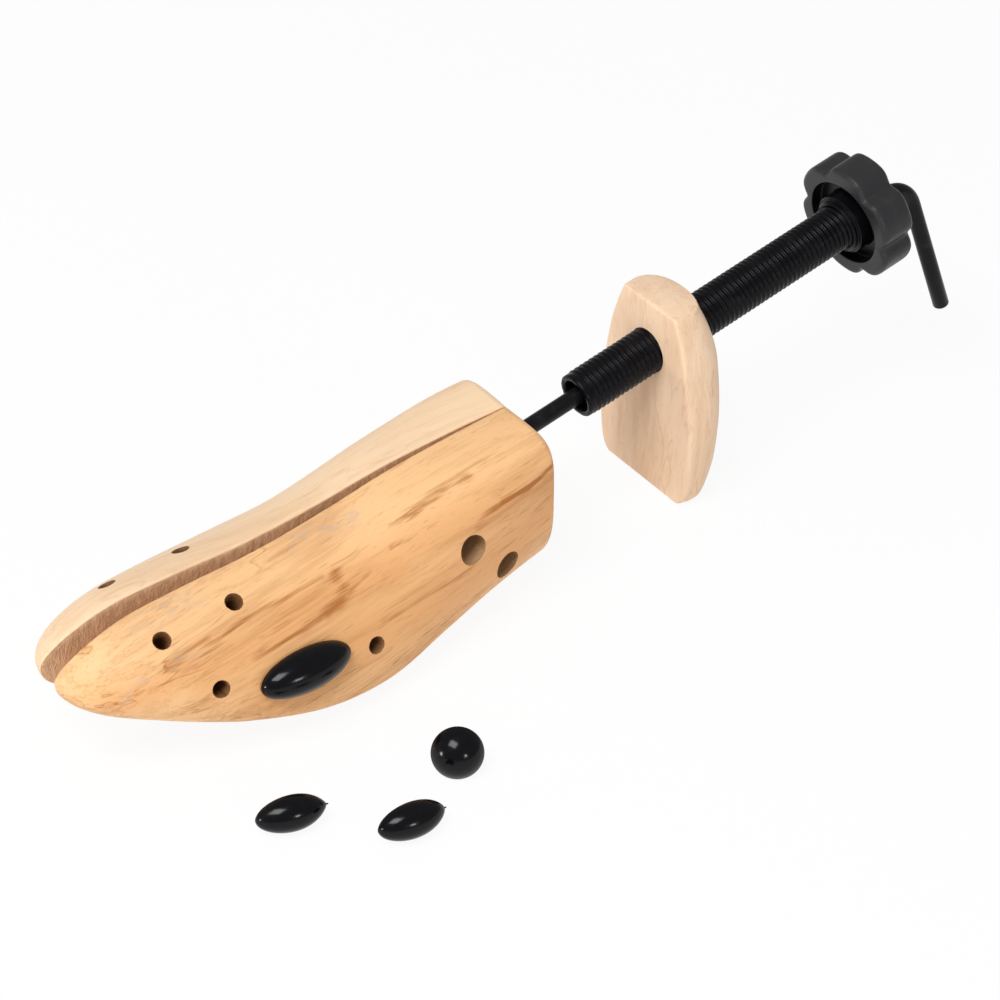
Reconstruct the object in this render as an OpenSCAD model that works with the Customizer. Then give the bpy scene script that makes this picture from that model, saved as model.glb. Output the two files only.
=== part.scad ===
// Two-way wooden shoe stretcher with three loose stretching pads
// x runs from the toe to the knob, y from the near half to the far half, z up
// The heel block's flat bottom stands on z = 0, and its centre is the origin

/* [Wooden forefoot] */
// Length of the forefoot from rear face to toe tip
toe_len = 172.5; // [150:0.5:200]
// Greatest width of the forefoot across the ball, closed
ball_w = 71.6; // [60:0.4:84]
// Depth of the forefoot from its flat top to the sole
last_h = 55; // [48:0.5:64]
// Rounding of the rear edges
rear_round = 3; // [1:0.5:5]
// Saw cut that stays between the closed halves
saw_gap = 0.3; // [0.2:0.1:1]

/* [Stretching pads] */
// Diameter of a plug hole
plug_d = 5; // [4:0.1:6]
// Depth of a plug hole below the skin
plug_depth = 12; // [8:0.5:14]
// Radial clearance of a pad's peg in its hole
peg_clear = 0.06; // [0.03:0.01:0.1]
// Length of the fitted pad
long_pad_l = 33; // [25:0.5:38]
// Width of the fitted pad
long_pad_w = 14.5; // [11:0.5:17]
// Length of a loose oval pad
oval_pad_l = 22.5; // [18:0.5:28]
// Width of a loose oval pad
oval_pad_w = 11.5; // [9:0.5:15]
// Diameter of the round pad
round_pad_d = 16.5; // [13:0.5:20]
// Height of a pad's dome
pad_dome = 5.5; // [4:0.5:7]
// Length of a pad's peg
peg_len = 9; // [6:0.5:10]

/* [Heel block] */
// Height of the heel block
heel_h = 74.5; // [66:0.5:88]
// Greatest width of the heel block
heel_w = 48.4; // [40:0.5:56]
// Greatest depth of the heel block
heel_depth = 21.5; // [19:0.5:30]
// Distance from the forefoot to the heel block along the rod
heel_gap = 59; // [45:0.5:80]

/* [Heel screw] */
// Outer diameter of the hollow screw
tube_d = 16; // [14:0.1:19]
// Inner diameter of the hollow screw
tube_bore = 11.5; // [8:0.1:12]
// Length of the hollow screw that shows in front of the knob
tube_len = 116; // [105:0.5:140]
// Distance from the forefoot to the front of the hollow screw
tube_gap = 28; // [22:0.5:40]
// Radial clearance of the screw in the heel block
tube_clear = 0.08; // [0.03:0.01:0.1]

/* [Knob] */
// Diameter of the knob across its lobes
knob_d = 43.4; // [38:0.2:52]
// Thickness of the knob
knob_t = 13.5; // [10:0.5:18]
// Number of lobes
lobes = 6; // [4:1:8]
// Depth of the notch between two lobes
notch = 2.9; // [1:0.1:4]
// Depth of the recess in the knob's front face
knob_recess = 4.5; // [1:0.5:6]
// Diameter of the collar round the hollow screw
collar_d = 21.4; // [20:0.2:24]
// Diameter of the recess in the knob's front face
recess_d = 31; // [27:0.5:33]

/* [Width rod] */
// Diameter of the rod
rod_d = 5.8; // [5:0.1:7]
// Radial clearance of the rod in the knob, nut and nose
rod_clear = 0.07; // [0.03:0.01:0.1]
// Slope of the rod above the forefoot's flat top, in degrees
rod_slope = 8.6; // [5:0.1:10]
// Height from the rod up to the top of the rear face
rod_drop = 15; // [12:0.5:20]
// Distance from the knob to where the handle leaves the rod's axis
hook_gap = 17; // [14:0.5:26]
// Centre-line radius of the handle's bend
hook_bend = 10; // [8:0.5:14]
// Length of the handle from the rod's axis
hook_len = 55; // [40:0.5:70]
// Splay of the handle away from the knob, in degrees
hook_splay = 4.5; // [0:0.5:20]
// Lean of the handle towards the near side, in degrees
hook_lean = 13.9; // [0:0.5:30]

/* [Width mechanism] */
// Distance of the nose from the rear face with the halves closed
nose_closed = 48; // [46:0.5:54]
// Travel of the nose from closed to widest
nose_travel = 20; // [14:0.5:22]
// Pitch of the rod's thread
rod_pitch = 1; // [0.8:0.05:1.5]
// Turns from closed to the pose shown
shown_turns = 4.6; // [0:0.1:14]
// Opening of each half at full travel, in degrees
open_full = 5.5; // [3:0.1:6]
// Diameter of the nose's ball
nose_d = 20; // [17:0.5:22]
// Length of the nose in front of its ball's centre
nose_front = 6; // [5:0.5:7]
// Length of the nose behind its ball's centre
nose_rear = 4; // [3:0.5:5]
// Diameter of the rod's journal in the nose
journal_d = 4.4; // [3.5:0.1:4.8]
// Thickness of a wear plate
plate_t = 1.5; // [1:0.1:2]
// Height of a wear plate
plate_h = 26; // [22:0.5:30]
// Diameter of the two cross holes in each half
cross_d = 9.9; // [9:0.1:12]
// Distance of the barrel nut's hole from the rear face
nut_back = 38; // [32:0.5:38.5]
// Length of the barrel nut
nut_len = 14; // [12:0.5:15]
// Diameter of the barrel nut
nut_d = 8.6; // [8:0.1:8.8]
// Distance of the spring's hole from the rear face
spring_back = 23.5; // [18:0.5:25]
// Depth of the spring's hole below the flat top
spring_drop = 36; // [34:0.5:40]
// Half the distance between the spring's two pins
pin_out = 14; // [11:0.5:17]
// Diameter of a spring pin
pin_d = 2.4; // [2:0.1:3]
// Diameter of the spring's wire
wire_d = 0.9; // [0.7:0.1:1.1]
// Outer diameter of the spring
spring_d = 6.5; // [5.5:0.1:7]
// Turns of the spring
coils = 11; // [8:1:12]

/* [Stance] */
// Slope of the forefoot's flat top as the part stands, in degrees
stance = 2.6; // [0:0.1:5]

/* [Hidden] */
$fn = 48;

wood = "burlywood";
pale_wood = "bisque";
black = "#1c1c20";
steel = "silver";

// Stations along the forefoot: share of its length, then shares of its half width
// and of its depth for the sole and the top, the height of the widest level,
// and the roundness above and below that level
STATIONS = [
  [0.000, 0.69, 0.99, 0.000, 0.52, 5.5, 2.7],
  [0.145, 0.80, 0.97, 0.000, 0.41, 3.2, 2.8],
  [0.290, 0.90, 0.985, 0.018, 0.29, 2.2, 2.8],
  [0.435, 0.997, 1.00, 0.069, 0.21, 1.75, 2.8],
  [0.580, 1.00, 0.945, 0.098, 0.21, 1.7, 2.7],
  [0.725, 0.855, 0.845, 0.084, 0.28, 1.7, 2.55],
  [0.870, 0.65, 0.68, 0.084, 0.39, 1.7, 2.35],
  [1.000, 0.60, 0.57, 0.136, 0.47, 1.7, 2.2]];
cap_start = 0.805;
cap_height = 0.315;

// Plug holes of one half: share of the length, share of the depth
PLUG_SPOTS = [[0.673, 0.157], [0.823, 0.158], [0.765, 0.44], [0.462, 0.60]];
PAD_SPOT = [0.609, 0.523];

// Heel block: share of its height, half width, depth
HEEL = [[0.00, 0.81, 0.62], [0.03, 0.895, 0.66], [0.10, 0.96, 0.73], [0.22, 1.00, 0.86], [0.37, 1.00, 0.94],
  [0.50, 0.965, 0.985], [0.64, 0.89, 1.00], [0.76, 0.82, 0.97], [0.88, 0.71, 0.85], [0.96, 0.615, 0.73],
  [1.00, 0.56, 0.68]];

open_rate = open_full / nose_travel;
shown_open = open_rate * shown_turns * rod_pitch;
nose_shown = nose_closed + shown_turns * rod_pitch;
nose_reach = nose_shown / cos(rod_slope);
collar_out = 3.4;
knob_front = tube_gap + tube_len + collar_out;
knob_back = knob_front + knob_t;
hook_out = knob_back + hook_gap;
nut_height = rod_drop + nut_back * tan(rod_slope);
ring_t = 1;
tip_out = nose_front + ring_t + 1.5;
plate_from = nose_closed - 6;
plate_to = nose_closed + nose_travel + 4;
plate_mid = rod_drop + (nose_closed + nose_travel / 2) * tan(rod_slope);
step_out = pin_out - pin_d / 2 - 0.05;
pad_seat = 0.15;
pin_shown = [pin_out * sin(shown_open) - spring_back * cos(shown_open),
  pin_out * cos(shown_open) + spring_back * sin(shown_open)];

// Smooth curve through one column of a table, at a given value of its first column
function span(T, t, i = 0) = i >= len(T) - 2 || t < T[i + 1][0] ? i : span(T, t, i + 1);
function slope(T, c, i) =
  let (a = max(i - 1, 0), b = min(i + 1, len(T) - 1)) (T[b][c] - T[a][c]) / (T[b][0] - T[a][0]);
function curve(T, c, t) =
  let (i = span(T, t), h = T[i + 1][0] - T[i][0], u = (t - T[i][0]) / h)
  (2 * pow(u, 3) - 3 * u * u + 1) * T[i][c] + (pow(u, 3) - 2 * u * u + u) * h * slope(T, c, i)
  + (3 * u * u - 2 * pow(u, 3)) * T[i + 1][c] + (pow(u, 3) - u * u) * h * slope(T, c, i + 1);

// Shape of the forefoot at a distance d from its rear face
function share(d) = d / toe_len;
function cap(d) =
  let (u = (share(d) - cap_start) / (1 - cap_start)) u <= 0 ? 1 : sqrt(max(1 - u * u, 0));
function inset(d) = d >= rear_round ? 0 : rear_round * (1 - sqrt(1 - pow(1 - d / rear_round, 2)));
function blend(z, d) = -cap_height * last_h + (z + cap_height * last_h) * pow(cap(d), 0.8);
function half_w(d) = curve(STATIONS, 1, share(d)) * ball_w / 2 * cap(d) - inset(d);
function sole_z(d) = blend(-curve(STATIONS, 2, share(d)) * last_h, d) + inset(d);
function top_z(d) = blend(-curve(STATIONS, 3, share(d)) * last_h, d) - inset(d);
function wide_z(d) = sole_z(d) + curve(STATIONS, 4, share(d)) * (top_z(d) - sole_z(d));
function skin_y(d, z) =
  let (up = z > wide_z(d), h = up ? top_z(d) - wide_z(d) : wide_z(d) - sole_z(d),
    p = curve(STATIONS, up ? 5 : 6, share(d)))
  half_w(d) * pow(max(1 - pow(abs(z - wide_z(d)) / h, p), 0), 1 / p);

// Height of the flat top's rear edge above the floor, from the lowest point of the sole
stand_h = max([for (i = [0 : 60]) let (d = i / 60 * toe_len) d * sin(stance) - sole_z(d) * cos(stance)]);
heel_front = heel_gap * cos(rod_slope);
heel_bottom = -(stand_h + heel_front * sin(stance)) / cos(stance);
foot_depth = HEEL[0][2] * heel_depth;
rest_x = (heel_front + foot_depth / 2) * cos(stance) - heel_bottom * sin(stance);

// Sets the forefoot's own frame down on the floor: rear edge of the flat top at its origin
module stand() {
  translate([-rest_x, 0, stand_h]) rotate([0, -stance, 0]) children();
}

// Turns one half open about its rear inner edge, side 1 the far half and -1 the near one
module opened(side) {
  rotate([0, 0, -side * shown_open]) children();
}

// Puts z along the rod, s in front of or behind the rear face, with x pointing down
module on_rod(s) {
  translate([0, 0, -rod_drop]) rotate([0, 90 - rod_slope, 0]) translate([0, 0, s]) children();
}

// Skin through rings of points, with a flat cap at both ends
module skin(rings) {
  n = len(rings[0]);
  m = len(rings);
  polyhedron(
    points = [for (r = rings) each r],
    faces = concat(
      [[for (j = [0 : n - 1]) j]],
      [[for (j = [n - 1 : -1 : 0]) (m - 1) * n + j]],
      [for (i = [0 : m - 2], j = [0 : n - 1]) let (k = (j + 1) % n) each
        [[i * n + j, (i + 1) * n + j, i * n + k], [i * n + k, (i + 1) * n + j, (i + 1) * n + k]]]));
}

// Outline of one half across the foot, from the top of the seam round to its bottom
function half_ring(d, count = 22) =
  let (w = half_w(d) - saw_gap / 2)
  [for (j = [0 : count])
    let (a = 90 - 180 * j / count, up = a >= 0, p = curve(STATIONS, up ? 5 : 6, share(d)),
      h = up ? top_z(d) - wide_z(d) : sole_z(d) - wide_z(d))
    [-d, saw_gap / 2 + w * pow(cos(a), 2 / p), wide_z(d) + h * pow(abs(sin(a)), 2 / p)]];

function toe_stations() = concat(
  [for (a = [0 : 30 : 60]) rear_round * (1 - cos(a))],
  [for (i = [0 : 13]) rear_round + i / 13 * (cap_start * toe_len - rear_round)],
  [for (a = [12 : 12 : 84]) toe_len * (cap_start + (1 - cap_start) * sin(a))]);

// Path of the nose's centre in the frame of a half that opens evenly with the nose's travel
function nose_open(x) = open_rate * (x - nose_closed);
function nose_path(x) = [-x * cos(nose_open(x)), -x * sin(nose_open(x))];
function cam_point(x, off) =
  let (t = nose_path(x + 0.5) - nose_path(x - 0.5), n = [t[1], -t[0]] / norm(t))
  nose_path(x) + n * off;
function cam_line(off) = [for (i = [0 : 12]) cam_point(plate_from + i / 12 * (plate_to - plate_from), off)];
cam_face = nose_d / 2 + 0.05;

// Cavity for the nose, the plate, the rod and the barrel nut in one closed half
module half_cuts() {
  translate([0, 0, -plate_mid - plate_h / 2])
    linear_extrude(plate_h)
      polygon(concat(cam_line(cam_face + plate_t), [cam_point(plate_to, 0), cam_point(plate_from, -3)]));
  on_rod(-nut_back) cylinder(d = rod_d + 1.6, h = nut_back + 10);
  on_rod(-plate_from - 3) cylinder(d = rod_d + 1.6, h = plate_from - nut_back + 8);
  translate([-nut_back, 0, -nut_height]) rotate([-90, 0, 0]) cylinder(d = cross_d, h = ball_w);
  translate([-spring_back, step_out, -spring_drop]) rotate([-90, 0, 0]) cylinder(d = cross_d, h = ball_w);
  translate([-spring_back, -1, -spring_drop]) rotate([-90, 0, 0]) cylinder(d = spring_d + 1.4, h = step_out + 2);
}

// Turns z to the outward normal of the skin at a distance d from the rear face and a height z
module on_skin(d, z) {
  n = [skin_y(d + 1, z) - skin_y(d - 1, z), 2, skin_y(d, z - 1) - skin_y(d, z + 1)];
  translate([-d, skin_y(d, z), z])
    rotate([0, acos(n[2] / norm(n)), atan2(n[1], n[0])]) children();
}

// Blind hole square to the side of the forefoot
module plug_hole(spot) {
  on_skin(spot[0] * toe_len, -spot[1] * last_h)
    translate([0, 0, -plug_depth]) cylinder(d = plug_d, h = plug_depth + 8);
}

module toe_half() {
  difference() {
    skin([for (d = toe_stations()) half_ring(d)]);
    half_cuts();
    for (spot = PLUG_SPOTS) plug_hole(spot);
    plug_hole(PAD_SPOT);
    plate_screws(0.15);
  }
}

module left_toe_half() {
  color(wood) stand() opened(-1) mirror([0, 1, 0]) toe_half();
}

module right_toe_half() {
  color(wood) stand() opened(1) toe_half();
}

// Level outline of the heel block at a share of its height: flat front, round back
function heel_ring(t, count = 24) =
  let (w = curve(HEEL, 1, t) * heel_w / 2, depth = curve(HEEL, 2, t) * heel_depth, front = min(depth / 3, 9))
  concat(
    [for (j = [0 : count]) let (a = -90 + 180 * j / count)
      [front + (depth - front) * pow(cos(a), 0.85), w * sign(sin(a)) * pow(abs(sin(a)), 0.9), t * heel_h]],
    [[1, w * 0.965, t * heel_h], [0, w * 0.935, t * heel_h], [0, -w * 0.935, t * heel_h], [1, -w * 0.965, t * heel_h]]);

function heel_levels() = [0, 0.012, 0.03, 0.06, 0.1, 0.16, 0.22, 0.3, 0.37, 0.44, 0.5, 0.57, 0.64, 0.7, 0.76,
  0.82, 0.88, 0.93, 0.97, 0.99, 1];

module heel_block() {
  color(pale_wood)
    difference() {
      translate([-foot_depth / 2, 0, 0])
        rotate([0, -stance, 0])
          difference() {
            skin(concat([[for (p = heel_ring(0)) [p[0], p[1], -5]]], [for (t = heel_levels()) heel_ring(t)]));
            rotate([0, stance, 0]) translate([-100, -100, -50]) cube([200, 200, 50]);
          }
      stand() on_rod(heel_gap - 20) cylinder(d = tube_d + 2 * tube_clear, h = heel_depth + 40);
    }
}

module screw_tube() {
  color(black) stand() on_rod(tube_gap)
    rotate_extrude()
      polygon([[tube_bore / 2, 0], [tube_d / 2 - 1, 0], [tube_d / 2, 1],
        [tube_d / 2, tube_len + 8], [tube_bore / 2, tube_len + 8]]);
}

// Outline of the knob: a circle with a soft notch between the lobes
function knob_r(a, r) =
  let (k = (a * lobes / 360 - floor(a * lobes / 360)) - 0.5) r - notch * exp(-pow(k / 0.154, 2));

module knob_outline(r) {
  polygon([for (i = [0 : 89]) let (a = i * 4) [knob_r(a, r) * cos(a), knob_r(a, r) * sin(a)]]);
}

module lobed_knob() {
  color(black) stand() on_rod(knob_front) rotate([0, 0, 180 / lobes + 3.4])
    difference() {
      union() {
        intersection() {
          linear_extrude(knob_t) knob_outline(knob_d / 2);
          rotate_extrude()
            polygon([[0, 0], [knob_d / 2 - 1.4, 0], [knob_d / 2, 1.4], [knob_d / 2, knob_t - 2],
              [knob_d / 2 - 2, knob_t], [0, knob_t]]);
        }
        rotate_extrude()
          polygon([[0, -collar_out], [collar_d / 2 - 2, -collar_out], [collar_d / 2 - 1.2, 0.8 - collar_out],
            [collar_d / 2 - 1.2, 1.8 - collar_out], [collar_d / 2, 1.8 - collar_out], [collar_d / 2, knob_recess + 1],
            [0, knob_recess + 1]]);
      }
      rotate_extrude()
        polygon([[collar_d / 2, -1], [recess_d / 2, -1], [recess_d / 2, knob_recess], [collar_d / 2, knob_recess]]);
      translate([0, 0, -10]) cylinder(d = tube_d + 0.04, h = 14.6);
      cylinder(d = rod_d + 2 * rod_clear, h = knob_t + 1);
    }
}

// Drawn from the start of its bend; the bend is a hair thinner and reaches into both straight ends
module width_rod() {
  straight = nose_reach - nose_rear - 0.1 + hook_out - hook_bend;
  tip = straight + nose_rear + tip_out + 0.1;
  turned = 90 - hook_splay;
  leg = hook_len - hook_bend;
  color(black) stand() on_rod(hook_out - hook_bend) rotate([0, 0, -hook_lean]) {
    rotate_extrude()
      polygon([[0, -tip], [journal_d / 2 - 0.5, -tip], [journal_d / 2, -tip + 0.5], [journal_d / 2, -straight],
        [rod_d / 2, -straight], [rod_d / 2, 0], [0, 0]]);
    translate([hook_bend, 0, 0]) {
      rotate([90, 0, 0]) rotate([0, 0, 178.5 - turned])
        rotate_extrude(angle = turned + 3) translate([hook_bend, 0]) circle(d = rod_d - 0.04);
      rotate([0, turned, 0]) translate([-hook_bend, 0, 0])
        rotate_extrude()
          polygon([[0, 0], [rod_d / 2, 0], [rod_d / 2, leg - 1], [rod_d / 2 - 1, leg], [0, leg]]);
    }
  }
}

module barrel_nut() {
  color(steel) stand()
    difference() {
      translate([-nut_back, -nut_len / 2, -nut_height]) rotate([-90, 0, 0]) cylinder(d = nut_d, h = nut_len);
      on_rod(-nut_back - 15) cylinder(d = rod_d + 2 * rod_clear, h = 30);
    }
}

// Ball-shaped pusher that turns freely on the rod's journal, between its shoulder and a ring
module spreader_nose() {
  color(steel) stand() on_rod(-nose_reach)
    difference() {
      intersection() {
        sphere(d = nose_d, $fn = 64);
        translate([0, 0, -nose_front]) cylinder(d = nose_d, h = nose_front + nose_rear);
      }
      translate([0, 0, -nose_d]) cylinder(d = journal_d + 2 * rod_clear, h = 2 * nose_d);
    }
}

module nose_ring() {
  color(steel) stand() on_rod(-nose_reach - nose_front - 0.1 - ring_t)
    difference() {
      cylinder(d = journal_d + 4, h = ring_t);
      translate([0, 0, -1]) cylinder(d = journal_d, h = ring_t + 2);
    }
}

// Places two things on the wear plate, above and below the nose's path, pointing into the wood
module at_plate_screws() {
  x = nose_closed + nose_travel / 2;
  p = cam_point(x, cam_face);
  q = cam_point(x, cam_face + 1);
  for (dz = [-1, 1])
    translate([p[0], p[1], -plate_mid + dz * (plate_h / 2 - 3)])
      rotate([0, 0, atan2(q[1] - p[1], q[0] - p[0])]) rotate([0, 90, 0]) children();
}

module plate_screws(clear) {
  at_plate_screws() {
    cylinder(d1 = 5 + clear, d2 = 2.6 + clear, h = plate_t);
    translate([0, 0, plate_t - 0.1]) cylinder(d = 2.6 + clear, h = 9);
  }
}

module wear_plate() {
  difference() {
    translate([0, 0, -plate_mid - plate_h / 2])
      linear_extrude(plate_h)
        polygon(concat(cam_line(cam_face), [for (i = [12 : -1 : 0]) cam_line(cam_face + plate_t)[i]]));
    plate_screws(0);
    on_rod(-plate_from - 3) cylinder(d = rod_d + 1.6, h = 10);
  }
}

module left_wear_plate() {
  color(steel) stand() opened(-1) mirror([0, 1, 0]) wear_plate();
}

module right_wear_plate() {
  color(steel) stand() opened(1) wear_plate();
}

module left_plate_screws() {
  color("gray") stand() opened(-1) mirror([0, 1, 0]) plate_screws(0);
}

module right_plate_screws() {
  color("gray") stand() opened(1) plate_screws(0);
}

// Round wire along a path, its rings kept square to the path
function unit(v) = v / norm(v);
function tangent(P, i) = unit(P[min(i + 1, len(P) - 1)] - P[max(i - 1, 0)]);
function carry(v, t) = unit(v - (v * t) * t);
function normals(P, i = 0, v = [0, 0, 1], out = []) =
  i == len(P) ? out : let (n = carry(v, tangent(P, i))) normals(P, i + 1, n, concat(out, [n]));
module wire(P, d, sides = 6) {
  N = normals(P);
  skin([for (i = [0 : len(P) - 1]) let (t = tangent(P, i), b = cross(t, N[i]))
    [for (j = [0 : sides - 1]) P[i] + d / 2 * (cos(360 * j / sides) * N[i] - sin(360 * j / sides) * b)]]);
}

coil_r = (spring_d - wire_d) / 2;
loop_r = pin_d / 2 + wire_d / 2 + 0.1;
loop_x = pin_shown[0] + spring_back;
coil_half = step_out - 3.2;
function coil_point(u) = [coil_r * cos(360 * coils * u), coil_half * (2 * u - 1), coil_r * sin(360 * coils * u)];
function loop_points(side) = [for (a = [0 : 30 : 210])
  [loop_x + loop_r * sin(a - 90), side * (pin_shown[1] + loop_r * cos(a - 90)), 0]];
spring_path = concat(
  [for (i = [7 : -1 : 0]) loop_points(-1)[i]],
  [[loop_x - loop_r, -pin_shown[1] + 1.6, 0], [-loop_r * 0.3, -coil_half - 1.5, 0]],
  [for (i = [3 : coils * 10 - 3]) coil_point(i / (coils * 10))],
  [[-loop_r * 0.3, coil_half + 1.5, 0], [loop_x - loop_r, pin_shown[1] - 1.6, 0]],
  loop_points(1));
coil_gap = 2 * coil_half / coils - wire_d;
echo(least_gap_between_spring_turns = coil_gap);

module return_spring() {
  color(steel) stand() translate([-spring_back, 0, -spring_drop]) wire(spring_path, wire_d);
}

module spring_pin() {
  translate([-spring_back, pin_out, -spring_drop - cross_d / 2 + 0.3]) cylinder(d = pin_d, h = cross_d - 0.6);
}

module left_spring_pin() {
  color(steel) stand() opened(-1) mirror([0, 1, 0]) spring_pin();
}

module right_spring_pin() {
  color(steel) stand() opened(1) spring_pin();
}

// Boat-shaped dome on a flat back with a peg, lying along x with its dome towards z
module oval_pad(l, w) {
  rise = 1;
  r = (pow(l / 2, 2) + pow(w / 2, 2)) / w;
  difference() {
    rotate([0, 90, 0])
      rotate_extrude()
        intersection() {
          translate([w / 2 - r, 0]) circle(r = r, $fn = 128);
          translate([0, -l / 2 + 0.4]) square([w, l - 0.8]);
        }
    translate([-l, -l, -l]) cube([2 * l, 2 * l, l]);
  }
  translate([0, 0, -peg_len]) cylinder(d = plug_d - 2 * peg_clear, h = peg_len + rise);
}

module round_pad(d) {
  r = (pow(d / 2, 2) + pow(pad_dome, 2)) / (2 * pad_dome);
  intersection() {
    translate([0, 0, pad_dome - r]) sphere(r = r, $fn = 96);
    cylinder(d = d, h = pad_dome + 1);
  }
  translate([0, 0, -peg_len]) cylinder(d = plug_d - 2 * peg_clear, h = peg_len + 1);
}

module fitted_oval_pad() {
  color(black) stand() opened(-1) mirror([0, 1, 0])
    on_skin(PAD_SPOT[0] * toe_len, -PAD_SPOT[1] * last_h)
      translate([0, 0, pad_seat]) rotate([0, 0, 90]) oval_pad(long_pad_l, long_pad_w);
}

// Pad tipped over on the floor so that its rim and its peg's end touch
module tipped(w, spot, turn) {
  tip = atan2(peg_len, w / 2 - plug_d / 2 + peg_clear);
  translate([spot[0], spot[1], 0]) rotate([0, 0, turn])
    translate([0, 0, w / 2 * sin(tip)]) rotate([tip, 0, 0]) children();
}

module loose_oval_pad_1() {
  color(black) tipped(oval_pad_w, [-197.5, -64.6], -17) oval_pad(oval_pad_l, oval_pad_w);
}

module loose_oval_pad_2() {
  color(black) tipped(oval_pad_w, [-170.5, -87.7], -10) oval_pad(oval_pad_l, oval_pad_w);
}

module loose_round_pad() {
  color(black) tipped(round_pad_d, [-143.8, -75.0], -36) round_pad(round_pad_d);
}

left_toe_half();
right_toe_half();
heel_block();
screw_tube();
lobed_knob();
width_rod();
barrel_nut();
spreader_nose();
nose_ring();
left_wear_plate();
right_wear_plate();
left_plate_screws();
right_plate_screws();
return_spring();
left_spring_pin();
right_spring_pin();
fitted_oval_pad();
loose_oval_pad_1();
loose_oval_pad_2();
loose_round_pad();
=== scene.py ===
# %% [markdown]
# # A two-way wooden shoe stretcher
# The object is a wooden forefoot sawn lengthwise into two halves, a heel block on a
# hollow plastic screw, a lobed knob that turns the screw, and a steel rod through it all
# that pushes the two halves apart. Three loose pads lie in front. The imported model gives
# the true sizes and places, and each visible piece is modelled again here with the
# roundings, ridges and grain that the plain model leaves out.

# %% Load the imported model
import math
import random
import bmesh
import bpy
from mathutils import Matrix, Vector
from mathutils.geometry import intersect_point_line


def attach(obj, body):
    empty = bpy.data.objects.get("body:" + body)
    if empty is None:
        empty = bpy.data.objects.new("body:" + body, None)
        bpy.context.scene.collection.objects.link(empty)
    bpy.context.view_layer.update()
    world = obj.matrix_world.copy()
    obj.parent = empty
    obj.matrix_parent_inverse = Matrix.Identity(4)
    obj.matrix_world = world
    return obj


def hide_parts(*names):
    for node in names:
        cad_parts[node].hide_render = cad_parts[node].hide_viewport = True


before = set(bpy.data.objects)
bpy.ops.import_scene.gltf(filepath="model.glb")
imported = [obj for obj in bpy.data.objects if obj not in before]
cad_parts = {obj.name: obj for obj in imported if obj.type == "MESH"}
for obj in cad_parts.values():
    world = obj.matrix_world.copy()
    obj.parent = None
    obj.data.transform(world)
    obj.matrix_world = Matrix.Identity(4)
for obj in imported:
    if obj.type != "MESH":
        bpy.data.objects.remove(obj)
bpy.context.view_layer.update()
print("pieces in the packed model:", len(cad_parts))

# %% [markdown]
# The camera stands above and in front of the near half's toe and looks along the
# object towards the knob. Its place and turn were found by matching the outline of the
# object in the photograph, so it comes first.

# %% The camera
camera_data = bpy.data.cameras.new("view")
camera_data.sensor_width = 36
camera_data.lens = 97.2
camera_data.clip_start = 0.05
camera = bpy.data.objects.new("view", camera_data)
bpy.context.scene.collection.objects.link(camera)
camera.matrix_world = Matrix((
    (0.78716, 0.37103, -0.49266, -0.50636),
    (-0.61571, 0.51905, -0.59286, -0.52582),
    (0.03574, 0.77002, 0.63703, 0.58439),
    (0, 0, 0, 1)))
bpy.context.scene.camera = camera
print("camera height:", round(camera.location.z, 3))

# %% [markdown]
# Two frames are used again and again. The forefoot is drawn with its flat top level and
# its rear face at zero, and then tips 2.6 degrees to stand on the floor. Everything that
# turns about the rod is drawn upright, with z along the rod, and then laid down on it.

# %% Frames of the forefoot and of the rod
MM = 0.001
STANCE = math.radians(2.6)
REAR_X = -67.7044
TOP_Z = 58.3464
ROD_DROP = 15
ROD_SLOPE = math.radians(8.6)
ROD_TILT = math.radians(81.4)
SHOWN_OPEN = math.radians(1.265)


def moved(x, y, z):
    """A move in millimetres."""
    return Matrix.Translation((x * MM, y * MM, z * MM))


def onto_rod(start):
    """Moves a frame down to the rod and lays its z along the rod."""
    return start @ moved(0, 0, -ROD_DROP) @ Matrix.Rotation(ROD_TILT, 4, "Y")


stand = moved(REAR_X, 0, TOP_Z) @ Matrix.Rotation(-STANCE, 4, "Y")
along_rod = onto_rod(stand)


def half_place(side):
    """Where a half stands: side 1 is the far one, -1 the near one."""
    return stand @ Matrix.Rotation(-side * SHOWN_OPEN, 4, "Z")


def rod_at(distance):
    """The rod's frame, moved along the rod by a distance in millimetres."""
    return along_rod @ moved(0, 0, distance)


# %% [markdown]
# Blender's operators work on whatever is selected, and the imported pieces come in
# selected. So each new piece starts with an empty selection. Small helpers open a piece
# for editing, close it and lay it in place.

# %% Helpers for picking up, closing and placing a piece
def put_all_down():
    if bpy.context.object and bpy.context.object.mode != "OBJECT":
        bpy.ops.object.mode_set(mode="OBJECT")
    bpy.ops.object.select_all(action="DESELECT")


def pick(piece):
    put_all_down()
    piece.select_set(True)
    bpy.context.view_layer.objects.active = piece


def open_up(piece, mode="VERT"):
    pick(piece)
    bpy.ops.object.mode_set(mode="EDIT")
    bpy.ops.mesh.select_mode(type=mode)
    return bmesh.from_edit_mesh(piece.data)


def pick_all():
    bpy.ops.mesh.select_all(action="SELECT")


def close(piece):
    bpy.ops.object.mode_set(mode="OBJECT")
    return piece


def close_outward(piece):
    """Turns every face of the open piece outward, then closes it."""
    pick_all()
    bpy.ops.mesh.normals_make_consistent(inside=False)
    return close(piece)


def lay(piece, matrix):
    """Turns and moves a piece, and bakes that into its mesh."""
    pick(piece)
    piece.matrix_world = matrix
    bpy.ops.object.transform_apply(location=True, rotation=True, scale=True)
    return piece


def smooth(piece, angle):
    pick(piece)
    bpy.ops.object.shade_smooth_by_angle(angle=math.radians(angle))
    return piece


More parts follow.
